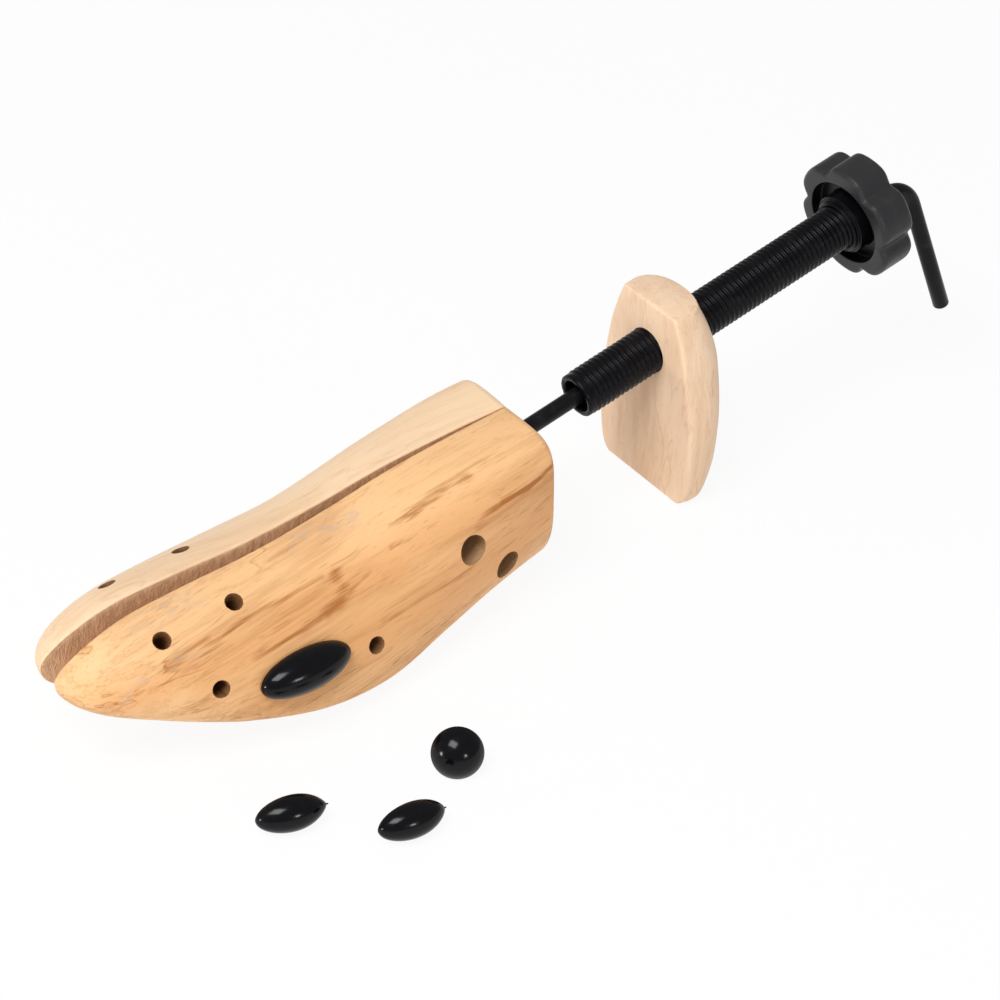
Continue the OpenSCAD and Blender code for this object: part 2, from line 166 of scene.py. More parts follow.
# %% [markdown]
# Most pieces have a section that changes along a line. By hand that is a circle whose
# points are moved to the first outline, extruded, moved to the next one, and so on. A
# number kept on each point is copied by the extrusion, so every new point knows its place.

# %% Extrude a circle from outline to outline
def loft(name, outlines, start="flat", end="flat"):
    put_all_down()
    count = len(outlines[0])
    bpy.ops.mesh.primitive_circle_add(vertices=count, radius=10 * MM)
    piece = bpy.context.object
    piece.name = name
    mesh = open_up(piece, "EDGE")
    spot = mesh.verts.layers.int.new("spot")
    for number, point in enumerate(mesh.verts):
        point[spot] = number
        point.co = Vector(outlines[0][number]) * MM
    bmesh.update_edit_mesh(piece.data)
    pick_all()
    for outline in outlines[1:]:
        bpy.ops.mesh.extrude_edges_move()
        mesh = bmesh.from_edit_mesh(piece.data)
        spot = mesh.verts.layers.int["spot"]
        for point in mesh.verts:
            if point.select:
                point.co = Vector(outline[point[spot]]) * MM
        bmesh.update_edit_mesh(piece.data)
    if start == "ring":
        join_ends()
    else:
        finish_end(end)
        pick_open_ends()
        finish_end(start)
    return close_outward(piece)


def pick_open_ends():
    """Selects the edges that still border a hole."""
    bpy.ops.mesh.select_all(action="DESELECT")
    bpy.ops.mesh.select_mode(type="EDGE")
    bpy.ops.mesh.select_non_manifold(extend=False, use_wire=False, use_multi_face=False,
                                     use_non_contiguous=False, use_verts=False)


def finish_end(kind):
    """Closes the selected ring with a flat face or draws it to a point."""
    if kind == "point":
        bpy.ops.mesh.merge(type="CENTER")
    else:
        bpy.ops.mesh.edge_face_add()


def join_ends():
    pick_open_ends()
    bpy.ops.mesh.bridge_edge_loops()


# %% [markdown]
# Holes are cut with Boolean modifiers, as a drill would. A cutter is a turned shape: a
# row of distances and radii. Its mouth flares a little and isn't quite even, because
# wood splinters where a drill breaks its skin. The random numbers start from a fixed
# seed, so the splinters are the same in every run.

# %% Drills and other cutters
random.seed(7)


def wobble(size):
    return size * random.uniform(-1, 1)


def turned(name, steps, sides=40, ragged=0.0):
    """A shape turned about z, given as (z, radius) in millimetres."""
    outlines = []
    for z, radius in steps:
        uneven = ragged if radius > steps[0][1] else 0
        outlines.append([((radius + wobble(uneven)) * math.cos(math.tau * i / sides),
                          (radius + wobble(uneven)) * math.sin(math.tau * i / sides),
                          z) for i in range(sides)])
    return loft(name, outlines)


def cut(piece, cutter, how="DIFFERENCE"):
    """The cut faces keep the finish of the cutter, which is used up."""
    pick(piece)
    change = piece.modifiers.new("cut", "BOOLEAN")
    change.operation = how
    change.solver = "EXACT"
    change.material_mode = "TRANSFER"
    change.object = cutter
    bpy.ops.object.modifier_apply(modifier=change.name)
    bpy.data.objects.remove(cutter)


# %% [markdown]
# Finishes are named now and mixed later, so that a piece can say which of its faces are
# planed, which are sawn, and which are the dark walls of a hole.

# %% Name the finishes
def finish(name):
    found = bpy.data.materials.get(name) or bpy.data.materials.new(name)
    found.use_nodes = True
    return found


near_wood, far_wood, heel_wood, sawn_wood, bored_wood, plug_hole_shaded_wood = [finish(name) for name in (
    "near_half_wood", "far_half_wood", "heel_block_wood", "sawn_wood", "bored_wood", "plug_hole_shaded_wood")]
screw_plastic, knob_plastic, pad_plastic = [finish(name) for name in (
    "ridged_black_plastic", "moulded_black_plastic", "glossy_black_plastic")]
rod_black, bright_steel = finish("black_rod_steel"), finish("turned_steel")
redrawn = set()


def wear(piece, *finishes):
    for material in finishes:
        piece.data.materials.append(material)


def join_model(piece, body, node):
    """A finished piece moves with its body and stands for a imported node."""
    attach(piece, body)
    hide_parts(node)
    redrawn.add(node)
    print(piece.name, "faces:", len(piece.data.polygons))


# %% [markdown]
# ## The forefoot
# The real forefoot is turned and sanded from one block and then sawn in two. Its shape
# is kept as a small table: at eight stations along its length, the half width, the
# sole, the top, the height of the widest level, and how square the corners are above
# and below it. A smooth curve through each column gives every section in between.

# %% The forefoot's table and its curves
TOE_LEN = 172.5
HALF_W = 35.8
LAST_H = 55.0
REAR_ROUND = 3.0
SEAM = 0.15
CAP_START = 0.805
CAP_HEIGHT = 0.315
STATIONS = [
    (0.000, 0.69, 0.99, 0.000, 0.52, 5.5, 2.7),
    (0.145, 0.80, 0.97, 0.000, 0.41, 3.2, 2.8),
    (0.290, 0.90, 0.985, 0.018, 0.29, 2.2, 2.8),
    (0.435, 0.997, 1.00, 0.069, 0.21, 1.75, 2.8),
    (0.580, 1.00, 0.945, 0.098, 0.21, 1.7, 2.7),
    (0.725, 0.855, 0.845, 0.084, 0.28, 1.7, 2.55),
    (0.870, 0.65, 0.68, 0.084, 0.39, 1.7, 2.35),
    (1.000, 0.60, 0.57, 0.136, 0.47, 1.7, 2.2)]


def curve(table, column, t):
    last = len(table) - 1
    i = max(k for k in range(last) if k == 0 or t >= table[k][0])

    def slope(k):
        a, b = max(k - 1, 0), min(k + 1, last)
        return (table[b][column] - table[a][column]) / (table[b][0] - table[a][0])

    h = table[i + 1][0] - table[i][0]
    u = (t - table[i][0]) / h
    return ((2 * u**3 - 3 * u * u + 1) * table[i][column] + (u**3 - 2 * u * u + u) * h * slope(i)
            + (3 * u * u - 2 * u**3) * table[i + 1][column] + (u**3 - u * u) * h * slope(i + 1))


def section(d):
    """Half width, sole, top, widest level and the two roundnesses at a distance d."""
    t = d / TOE_LEN
    u = (t - CAP_START) / (1 - CAP_START)
    cap = 1 if u <= 0 else math.sqrt(max(1 - u * u, 0))
    drawn_in = 0 if d >= REAR_ROUND else REAR_ROUND * (1 - math.sqrt(1 - (1 - d / REAR_ROUND)**2))

    def level(z):
        return -CAP_HEIGHT * LAST_H + (z + CAP_HEIGHT * LAST_H) * cap**0.8

    width = curve(STATIONS, 1, t) * HALF_W * cap - drawn_in
    sole = level(-curve(STATIONS, 2, t) * LAST_H) + drawn_in
    top = level(-curve(STATIONS, 3, t) * LAST_H) - drawn_in
    wide = sole + curve(STATIONS, 4, t) * (top - sole)
    return width, sole, top, wide, curve(STATIONS, 5, t), curve(STATIONS, 6, t)


def skin_y(d, z):
    """How far the skin lies from the middle, at a distance d and a height z."""
    width, sole, top, wide, above, below = section(d)
    height, power = (top - wide, above) if z > wide else (wide - sole, below)
    return width * max(1 - (abs(z - wide) / height)**power, 0)**(1 / power)


print("widest section, half width in mm:", round(section(0.5 * TOE_LEN)[0], 1))

# %% [markdown]
# One outline runs up the sawn face, round a small sanded edge, over the skin from the
# top of the seam to its bottom, and round the lower edge again. The skin's points are
# spread evenly, so that the light runs over it evenly.

# %% Outline of one half across the foot
SKIN_POINTS = 96


def evenly(line, count):
    """Points at equal steps along a polyline."""
    far = [0]
    for a, b in zip(line, line[1:]):
        far.append(far[-1] + math.dist(a, b))
    out, k = [], 0
    for n in range(count):
        want = far[-1] * n / (count - 1)
        while k < len(far) - 2 and far[k + 1] < want:
            k += 1
        share = (want - far[k]) / ((far[k + 1] - far[k]) or 1)
        out.append([p + share * (q - p) for p, q in zip(line[k], line[k + 1])])
    return out


def half_outline(d, side):
    width, sole, top, wide, above, below = section(d)
    edge = min(0.6, 0.12 * (top - sole), 0.25 * width)
    line = []
    for j in range(401):
        a = math.pi / 2 - math.pi * j / 400
        power, height = (above, top - wide) if a >= 0 else (below, sole - wide)
        y = SEAM + (width - SEAM) * max(math.cos(a), 0)**(2 / power)
        z = wide + height * abs(math.sin(a))**(2 / power)
        if y >= SEAM + edge:
            line.append((y, z))
    points = evenly(line, SKIN_POINTS)
    upper, lower = points[0][1], points[-1][1]
    rounding = [math.radians(a) for a in (90, 67, 45, 22, 0)]
    up = [(SEAM + edge - edge * math.sin(a), upper - edge + edge * math.cos(a)) for a in rounding]
    down = [(SEAM + edge - edge * math.sin(a), lower + edge - edge * math.cos(a))
            for a in reversed(rounding)]
    ring = up[:-1] + points + down[1:]
    return [(-d, side * y, z) for y, z in ring]


BODY_STEPS = 92
body_len = CAP_START * TOE_LEN - REAR_ROUND
stations = [REAR_ROUND * (1 - math.cos(math.radians(a))) for a in range(0, 90, 11)]
stations += [REAR_ROUND + body_len * i / BODY_STEPS for i in range(BODY_STEPS + 1)]
stations += [TOE_LEN * (CAP_START + (1 - CAP_START) * math.sin(math.radians(a)))
             for a in range(2, 89, 2)]
print("outlines along a half:", len(stations))

# %% [markdown]
# Each half is lofted closed, from the flat rear to a point at the toe. Then its flat inner
# face gets the sawn finish: only that face lies at the seam and looks straight across.

# %% Loft a half and mark its sawn face
def raw_half(name, side, skin_finish):
    piece = loft(name, [half_outline(d, side) for d in stations], end="point")
    wear(piece, skin_finish, sawn_wood)
    for face in piece.data.polygons:
        sides = [abs(piece.data.vertices[v].co.y) for v in face.vertices]
        flat = all(abs(y - SEAM * MM) < 0.01 * MM for y in sides)
        face.material_index = 1 if flat and abs(face.normal.y) > 0.99 else 0
    return piece


# %% [markdown]
# Inside, a round nose on the rod runs along two sloping steel plates and wedges the
# halves apart. The hollow for it follows the nose's path as seen from the swinging half.

# %% The hollow for the nose
OPEN_RATE = math.radians(5.5) / 20
NOSE_CLOSED = 48
HOLLOW_FROM = 42
HOLLOW_TO = 72
HOLLOW_MIDDLE = 58
HOLLOW_DEEP = 11.55
HOLLOW_UP = 13


def nose_point(x, off):
    """Middle of the nose at a distance x from the rear, moved off sideways."""
    def path(u):
        turn = OPEN_RATE * (u - NOSE_CLOSED)
        return Vector((-u * math.cos(turn), -u * math.sin(turn)))
    way = path(x + 0.5) - path(x - 0.5)
    side = Vector((way.y, -way.x)).normalized()
    return path(x) + side * off


def nose_hollow(side):
    length = HOLLOW_TO - HOLLOW_FROM
    line = [nose_point(HOLLOW_FROM + length * i / 12, HOLLOW_DEEP) for i in range(13)]
    line += [nose_point(HOLLOW_TO, 0), nose_point(HOLLOW_FROM, -3)]
    middle = ROD_DROP + HOLLOW_MIDDLE * math.tan(ROD_SLOPE)
    levels = [-middle - HOLLOW_UP, -middle + HOLLOW_UP]
    return loft("hollow", [[(p.x, side * p.y, z) for p in line] for z in levels])


# %% [markdown]
# Each flank has five plug holes at the spots where shoes press. A hole's place is a share
# of the forefoot's length and depth, and it is drilled square to the skin, whose lean is
# measured a millimetre to each side of the spot.

# %% Where the plug holes sit on the skin
PLUG_SPOTS = [(0.673, 0.157), (0.823, 0.158), (0.765, 0.44), (0.462, 0.60)]
PAD_SPOT = (0.609, 0.523)
PLUG_HOLE = [(-12.6, 1.2), (-12, 2.5), (-0.55, 2.5), (0.1, 2.98), (8, 3.1)]


def on_skin(spot, side):
    """Turns z to the outward normal of the skin at a share of length and depth."""
    d, z = spot[0] * TOE_LEN, -spot[1] * LAST_H
    lean = skin_y(d + 1, z) - skin_y(d - 1, z)
    n = Vector((lean, 2, skin_y(d, z - 1) - skin_y(d, z + 1))).normalized()
    place = Matrix.Translation(Vector((-d, skin_y(d, z), z)) * MM)
    turn = Matrix.Rotation(math.atan2(n.y, n.x), 4, "Z") @ Matrix.Rotation(math.acos(n.z), 4, "Y")
    mirror = Matrix.Diagonal((1, side, 1, 1))
    return mirror @ place @ turn


# %% [markdown]
# The cuts follow in the order of a workshop: the hollow, the channel for the rod, the
# two wide cross holes for the nut and the spring, and the plug holes. Then the half is
# turned open as in the photograph and laid in its place.

# %% Cut and drill one half
def drill(piece, name, steps, matrix, ragged=0.0, walls=bored_wood):
    tool = lay(turned(name, steps, ragged=ragged), matrix)
    open_up(tool)
    close_outward(tool)
    wear(tool, walls)
    cut(piece, tool)


def toe_half(name, side, skin_finish):
    piece = raw_half(name, side, skin_finish)
    hollow = nose_hollow(side)
    wear(hollow, bored_wood)
    cut(piece, hollow)
    rod_line = onto_rod(Matrix())
    drill(piece, "rod_channel", [(-38, 3.7), (0, 3.7), (12, 3.9)], rod_line)
    drill(piece, "rod_end", [(-45, 3.7), (-33, 3.7)], rod_line)
    across = Matrix.Rotation(math.radians(-90 * side), 4, "X")
    nut = moved(-38, 0, -20.747) @ across
    spring = moved(-23.5, 0, -36) @ across
    drill(piece, "nut_hole", [(0, 4.95), (60, 4.95)], nut)
    drill(piece, "spring_way", [(-1, 3.95), (14, 3.95)], spring)
    drill(piece, "spring_hole", [(12.75, 4.95), (60, 4.95)], spring)
    # The plug holes get walls painted dark, as painted shade for their depth.
    for spot in PLUG_SPOTS + [PAD_SPOT]:
        drill(piece, "plug_hole", PLUG_HOLE, on_skin(spot, side), ragged=0.09, walls=plug_hole_shaded_wood)
    return smooth(lay(piece, half_place(side)), 38)


near_half = toe_half("near_toe_half", -1, near_wood)
join_model(near_half, "left_toe", "left_toe_half")

# %% [markdown]
# The far half mirrors the near one, so the same function makes it from another wood.

# %% The far half
far_half = toe_half("far_toe_half", 1, far_wood)
join_model(far_half, "right_toe", "right_toe_half")

# %% [markdown]
# ## The heel block
# The heel block is a pale upright block with a flat front, two soft upright edges, a
# rounded back and a small flat top. It is lofted level by level. Its lowest outline
# runs below the floor and is bisected away, which leaves a flat foot to stand on.

# %% The heel block's levels
HEEL_H = 74.5
HEEL_HALF_W = 24.2
HEEL_DEPTH = 21.5
HEEL = [(0.00, 0.81, 0.62), (0.03, 0.895, 0.66), (0.10, 0.96, 0.73), (0.22, 1.00, 0.86),
        (0.37, 1.00, 0.94), (0.50, 0.965, 0.985), (0.64, 0.89, 1.00), (0.76, 0.82, 0.97),
        (0.88, 0.71, 0.85), (0.96, 0.615, 0.73), (1.00, 0.56, 0.68)]


def heel_outline(t, z, shrink=0.0):
    w = curve(HEEL, 1, t) * HEEL_HALF_W - shrink
    depth = curve(HEEL, 2, t) * HEEL_DEPTH - shrink
    front = min(depth / 3, 9)
    back = []
    for j in range(61):
        a = -math.pi / 2 + math.pi * j / 60
        back.append((front + (depth - front) * max(math.cos(a), 0)**0.85,
                     w * math.copysign(abs(math.sin(a))**0.9, math.sin(a))))
    corner = []
    for j in range(7):
        u = j / 6
        a, b, c = (1.7, 0.972 * w), (shrink + 0.1, 0.962 * w), (shrink, 0.905 * w)
        corner.append([(1 - u)**2 * a[k] + 2 * u * (1 - u) * b[k] + u * u * c[k] for k in (0, 1)])
    face = [(shrink, 0.905 * w * (1 - 2 * (i + 1) / 20)) for i in range(19)]
    other = [(x, -y) for x, y in reversed(corner)]
    return [(x, y, z) for x, y in back + corner + face + other]


levels = [(0, -5, 0), (0, 0, 0)] + [(i / 64, HEEL_H * i / 64, 0) for i in range(1, 64)]
levels += [(0.994, HEEL_H * 0.994, 0), (0.998, HEEL_H * 0.998, 0.14), (1, HEEL_H, 0.45)]
heel = loft("heel_block_wood", [heel_outline(t, z, inward) for t, z, inward in levels])
lay(heel, moved(-0.31 * HEEL_DEPTH, 0, 0) @ Matrix.Rotation(-STANCE, 4, "Y"))

# %% [markdown]
# The slanting block is cut level with the floor and the new edge gets a small bevel, as
# sandpaper leaves it. The bore is a little wider than the screw that runs in it.

# %% Cut the foot flat, soften its edge and bore it for the screw
def slice_level(piece, height, keep_above, fill=False):
    open_up(piece, "FACE")
    pick_all()
    bpy.ops.mesh.bisect(plane_co=(0, 0, height * MM), plane_no=(0, 0, 1), use_fill=fill,
                        threshold=0.001 * MM, clear_inner=keep_above, clear_outer=not keep_above)
    close(piece)


def pick_rim(piece, height, open_only=True):
    """Opens a piece and selects the edges at a height, ready to extrude or bevel."""
    mesh = open_up(piece, "EDGE")
    for item in mesh.edges:
        level = all(abs(v.co.z - height * MM) < 0.01 * MM for v in item.verts)
        item.select_set(level and (item.is_boundary or not open_only))
    bmesh.update_edit_mesh(piece.data)


slice_level(heel, 0, True, fill=True)
pick_rim(heel, 0, open_only=False)
bpy.ops.mesh.bevel(offset=0.4 * MM, segments=2, affect="EDGES", clamp_overlap=True)
close(heel)
wear(heel, heel_wood)
heel_bore = lay(turned("heel_bore", [(39, 8.08), (100, 8.08)], sides=72), along_rod)
wear(heel_bore, bored_wood)
cut(heel, heel_bore)
smooth(heel, 32)
join_model(heel, "heel", "heel_block")

# %% [markdown]
# ## The hollow screw
# The black tube is moulded with rounded ridges that climb 2 mm a turn. One ridge is
# drawn as a short profile, and the Screw modifier winds it up the tube. In front the
# real tube has a plain lead-in with a rough rim, and at the rear the knob holds it.

# %% Wind the ridges
PITCH = 2.0
rise = [(0, 7.38), (0.1, 7.42), (0.2, 7.62), (0.32, 7.86), (0.44, 7.98)]
ridge = rise + [(round(1 - share, 2), radius) for share, radius in reversed(rise)]
put_all_down()
bpy.ops.mesh.primitive_circle_add(vertices=len(ridge), radius=MM)
tube = bpy.context.object
tube.name = "hollow_screw"
mesh = open_up(tube)
for point, (share, radius) in zip(list(mesh.verts), ridge):
    point.co = Vector((radius, 0, share * PITCH)) * MM
closing = [e for e in mesh.edges if abs(e.verts[0].co.z - e.verts[1].co.z) > 1.9 * MM]
bmesh.ops.delete(mesh, geom=closing, context="EDGES_FACES")
bmesh.update_edit_mesh(tube.data)
close(tube)
winding = tube.modifiers.new("winding", "SCREW")
winding.screw_offset = PITCH * MM
winding.iterations = 60
winding.steps = 40
winding.render_steps = 40
pick(tube)
bpy.ops.object.modifier_apply(modifier=winding.name)
open_up(tube)
pick_all()
bpy.ops.mesh.remove_doubles(threshold=0.01 * MM)
close(tube)
print("faces of the wound ridges:", len(tube.data.polygons))


# %% [markdown]
# The wound ridges end in a step, so each end is bisected level and its rim extruded,
# round the end and back inside as the bore. The two bores meet and are bridged.

# %% Slice the ends level and draw out the plain ends
def draw_on(piece, steps, rough=0.0):
    """Extrudes the selected rim through (height, radius) steps."""
    for height, radius in steps:
        bpy.ops.mesh.extrude_edges_move()
        mesh = bmesh.from_edit_mesh(piece.data)
        for point in mesh.verts:
            if point.select:
                turn = math.atan2(point.co.y, point.co.x)
                r = radius + wobble(rough)
                z = height + wobble(rough)
                point.co = Vector((r * math.cos(turn), r * math.sin(turn), z)) * MM
        bmesh.update_edit_mesh(piece.data)


FRONT_CUT = 3.0
REAR_CUT = 117.6
TUBE_GAP = 28
slice_level(tube, FRONT_CUT, True)
slice_level(tube, REAR_CUT, False)
pick_rim(tube, FRONT_CUT)
draw_on(tube, [(2.4, 7.72), (1.2, 7.74), (0.6, 7.7)])
draw_on(tube, [(0.3, 7.5), (0.12, 7.2)], rough=0.1)
draw_on(tube, [(0.15, 6.4), (0.3, 5.95), (0.8, 5.75), (6, 5.75)])
close(tube)
pick_rim(tube, REAR_CUT)
draw_on(tube, [(118.2, 7.98), (123.9, 7.98), (124, 7.9), (124, 5.85), (123.8, 5.75), (60, 5.75)])
close(tube)
open_up(tube)
join_ends()
pick_all()
bpy.ops.mesh.remove_doubles(threshold=0.002 * MM)
close_outward(tube)
lay(tube, rod_at(TUBE_GAP))
wear(tube, screw_plastic)
smooth(tube, 60)
join_model(tube, "heel_screw", "screw_tube")

# %% [markdown]
# ## The knob
# The knob is one plastic moulding: six broad lobes with narrow flutes between them, a
# rounded rim, a deep ring-shaped recess in front and a stepped collar round the screw.
# Its outlines go all the way round and back through the bore, and the last is bridged to
# the first. The collar is a glossier black plastic and shares the screw's finish. The recess
# gets that deeper black too, as painted shade.

# %% The knob's outlines
KNOB_FRONT = 147.4
KNOB_TURN = 3.4
KNOB_POINTS = 144
KNOB_BACK = 13.5
LOBES = 6
FLUTE_DEPTH = 2.9
FLUTE_SHARE = 0.154


def lobed(radius, z, lobed_share):
    """A ring with flutes, or a plain circle where lobed_share is 0."""
    ring = []
    for i in range(KNOB_POINTS):
        a = math.tau * i / KNOB_POINTS
        k = (a * LOBES / math.tau) % 1 - 0.5
        r = radius - lobed_share * FLUTE_DEPTH * math.exp(-(k / FLUTE_SHARE)**2)
        ring.append((r * math.cos(a), r * math.sin(a), z))
    return ring


def rim_arc(radius, turns):
    """Sine and cosine of the turns in degrees, times the radius of a rounded rim."""
    return [(radius * math.sin(math.radians(a)), radius * math.cos(math.radians(a))) for a in turns]


back = [(2.97, 0), (3.4, 0), (8, 0), (13, 0.5), (17.5, 0.95), (19.3, 1), (19.7, 1)]
rows = [(radius, KNOB_BACK, share) for radius, share in back]
rows += [(19.7 + out, 11.5 + up, 1) for out, up in rim_arc(2, range(15, 91, 15))]
rows += [(21.7, z, 1) for z in (9.5, 7.5, 5.5, 3.5)]
rows += [(20 + out, 1.7 - up, 1) for up, out in rim_arc(1.7, range(0, 91, 15))]
rows += [(18.9, 0, 0.9), (17.6, 0, 0.55), (16.6, 0, 0.2), (16.0, 0, 0)]
recess = [(15.65, 0.12), (15.5, 0.45), (15.45, 4.1), (15.1, 4.5), (11.1, 4.5), (10.7, 4.1)]
collar = [(10.7, -1.25), (10.35, -1.6), (9.75, -1.6), (9.5, -1.85), (9.5, -2.75), (8.95, -3.4),
          (8.4, -3.4), (8.02, -3.2), (8.02, 4.6), (2.97, 4.6)]
rows += [(radius, z, 0) for radius, z in recess + collar]
knob = loft("lobed_handle", [lobed(*row) for row in rows], start="ring")
wear(knob, knob_plastic, screw_plastic)
# Collar and recess faces take the screw's black. On the collar this is the real plastic; in the recess it is
# painted shade.
for face in knob.data.polygons:
    inside = math.hypot(face.center.x, face.center.y) < 15.6 * MM and face.center.z < 4.7 * MM
    face.material_index = 1 if inside else 0
lay(knob, rod_at(KNOB_FRONT) @ Matrix.Rotation(math.radians(KNOB_TURN), 4, "Z"))
smooth(knob, 40)
join_model(knob, "heel_screw", "lobed_knob")

# %% [markdown]
# ## The bent rod
# A steel rod runs from the spreading nose through the nut, the hollow screw and the
# knob, and bends down behind it into a handle. A circle is extruded along that line.
# Inside the wood the rod is threaded: its radius falls and rises with height and turn.

# %% Sweep the rod along its line
ROD_R = 2.9
BEND_R = 10.0
BEND_START = 177.9 - BEND_R
TURNED = 85.5
LEG = 45.0
LEG_TURN = math.radians(-13.9)
NOSE_REACH = 53.198
NOSE_FRONT = 6
RING = 1
ROD_SIDES = 32
ROD_PITCH = 1.0
THREAD_STEP = 0.125
THREAD_DEPTH = 0.42


def rod_ring(middle, angle, radius, thread=0.0):
    """A ring round the rod's line, leaning by an angle in the plane of the bend."""
    across = Vector((math.cos(angle), 0, -math.sin(angle)))
    out = []
    for i in range(ROD_SIDES):
        a = math.tau * i / ROD_SIDES
        climb = (middle.z / ROD_PITCH - i / ROD_SIDES) % 1
        r = radius - thread * abs(2 * climb - 1)**1.5
        out.append(middle + r * (math.cos(a) * across + math.sin(a) * Vector((0, 1, 0))))
    return out


def straight(z, radius, thread=0.0):
    return rod_ring(Vector((0, 0, z - BEND_START)), 0, radius, thread)


def bend(a):
    """A point of the bend after a turn by a."""
    return Vector((BEND_R - BEND_R * math.cos(a), 0, BEND_R * math.sin(a)))


shoulder = -NOSE_REACH + 4.1
tip = -NOSE_REACH - NOSE_FRONT - RING - 1.5 - 0.1
thread_end = -16.0
neck = [(tip, 1.7), (tip + 0.5, 2.2), (shoulder, 2.2), (shoulder + 0.02, 2.6), (shoulder + 0.3, ROD_R)]
rings = [straight(z, radius) for z, radius in neck]
steps = int((thread_end - shoulder - 0.5) / THREAD_STEP)
for i in range(steps):
    z = shoulder + 0.5 + i * THREAD_STEP
    fade = min(1, i / 8, (steps - i) / 16)
    rings.append(straight(z, ROD_R, THREAD_DEPTH * fade))
rings += [straight(z, ROD_R) for z in (thread_end + 0.2, 40, 100, BEND_START)]
for i in range(1, 21):
    a = math.radians(TURNED) * i / 20
    rings.append(rod_ring(bend(a), a, ROD_R))
a = math.radians(TURNED)
bend_end = bend(a)
way = Vector((math.sin(a), 0, math.cos(a)))
handle = [(LEG * 0.3, ROD_R), (LEG * 0.6, ROD_R), (LEG - 0.9, ROD_R), (LEG - 0.45, ROD_R - 0.2),
          (LEG - 0.1, ROD_R - 0.6), (LEG, ROD_R - 1.0)]
rings += [rod_ring(bend_end + way * far, a, radius) for far, radius in handle]
rod = loft("bent_rod", rings)
lay(rod, rod_at(BEND_START) @ Matrix.Rotation(LEG_TURN, 4, "Z"))
wear(rod, rod_black)
smooth(rod, 40)
join_model(rod, "rod", "width_rod")

# %% [markdown]
# ## The stretching pads
# The pads are glossy black mouldings that plug into the holes to stretch one spot of a
# shoe. The oval ones are half of an olive stone: half-round outlines that grow and shrink
# along the pad. How fast they grow makes an end blunt or pointed. The small ones still
# carry a nub at one tip, where the plastic was torn from the mould. A peg is joined on
# with a Boolean union.

# %% Oval pads with their pegs
PEG_R = 2.44


def half_round(x, r):
    """A half-round outline with a small rolled edge underneath."""
    lip = min(0.5, 0.3 * r)
    side = math.sqrt(r * r - lip * lip)
    arc = [(r * math.cos(math.pi * j / 80), r * math.sin(math.pi * j / 80)) for j in range(81)]
    points = evenly([(y, z) for y, z in arc if z > lip], 33)
    curl = [(side - lip, 0), (side - lip * 0.3, lip * 0.14), (side, lip * 0.55)]
    ring = curl + points + [(-y, z) for y, z in reversed(curl)]
    ring += [(-(side - lip) * (1 - 2 * k / 9), 0) for k in range(1, 9)]
    return [(x, y, z) for y, z in ring]


def oval_pad(name, long, wide, blunt, nub=0.0):
    """The two numbers of blunt are 0.5 for a round end and more for a pointed one."""
    outlines = []
    for i in range(49):
        share = -math.cos(math.pi * i / 48)
        power = blunt[0] + (blunt[1] - blunt[0]) * (share + 1) / 2
        r = wide / 2 * math.sin(math.pi * i / 48)**(2 * power)
        outlines.append(half_round(share * long / 2, max(r, nub if share > 0.9 else 0.03)))
    if nub:
        outlines += [half_round(long / 2 + 0.4, nub * 0.8), half_round(long / 2 + 0.7, 0.03)]
    return loft(name, outlines, start="point", end="point")


def tipped(width, place, turn, peg=9):
    """A loose pad leans on its rim and on the end of its peg."""
    lean = math.atan2(peg, width / 2 - PEG_R)
    spot = moved(*place, 0) @ Matrix.Rotation(math.radians(turn), 4, "Z")
    return spot @ moved(0, 0, width / 2 * math.sin(lean)) @ Matrix.Rotation(lean, 4, "X")


def finished_pad(piece, matrix, body, node, peg=9):
    """Joins a peg of a length in millimetres to a pad, lays it down and finishes it."""
    steps = [(-peg, 1.9), (0.4 - peg, 2.3), (0.8 - peg, PEG_R), (1, PEG_R)]
    cut(piece, turned("peg", steps, sides=32), "UNION")
    lay(piece, matrix)
    open_up(piece)
    close_outward(piece)
    piece.data.materials.clear()
    wear(piece, pad_plastic)
    smooth(piece, 50)
    join_model(piece, body, node)


fitted = half_place(-1) @ on_skin(PAD_SPOT, -1)
fitted = fitted @ moved(0, 0, 0.15) @ Matrix.Rotation(math.radians(90), 4, "Z")
finished_pad(oval_pad("long_pad", 31.5, 13.7, (0.52, 0.47)), fitted, "fitted_pad", "fitted_oval_pad")
for name, blunt, place, turn, body in (("oval_pad_left", (0.52, 0.7), (-197.5, -64.6), -17, "oval_pad_1"),
                                       ("oval_pad_right", (0.52, 0.66), (-170.5, -87.7), -10, "oval_pad_2")):
    loose = oval_pad(name, 22, 11.5, blunt, nub=0.3)
    finished_pad(loose, tipped(11.5, place, turn, peg=7.0), body, "loose_" + body, peg=7.0)

# %% [markdown]
# The round pad is a shallow cap cut from a ball, whose radius follows from the cap's
# width and height.

# %% The round pad
DOME, ROUND_R = 5.5, 8.25
ball = (ROUND_R**2 + DOME**2) / (2 * DOME)
steps = [(0, ROUND_R - 0.5), (0.12, ROUND_R - 0.15), (0.4, ROUND_R - 0.1)]
for i in range(1, 24):
    z = 0.4 + (DOME - 0.4) * math.sin(math.pi / 2 * i / 24)
    steps.append((z, math.sqrt(ball**2 - (z + ball - DOME)**2)))
outlines = [[(r * math.cos(math.tau * i / 72), r * math.sin(math.tau * i / 72), z) for i in range(72)]
            for z, r in steps]
round_pad = loft("round_pad", outlines, end="point")
finished_pad(round_pad, tipped(16.5, (-143.8, -75.0), -36), "round_pad", "loose_round_pad")

# %% [markdown]
# ## Finishes
# Every finish is mixed from nodes. A few helpers keep the recipes short: feed a socket,
# do a sum, mix two colours, lay a noise, stretch it along the grain.

# %% Small helpers for shader nodes
def feed(value, socket):
    """Feeds a socket from another one, or sets it to a plain value."""
    if isinstance(value, bpy.types.NodeSocket):
        socket.id_data.links.new(value, socket)
    else:
        socket.default_value = value


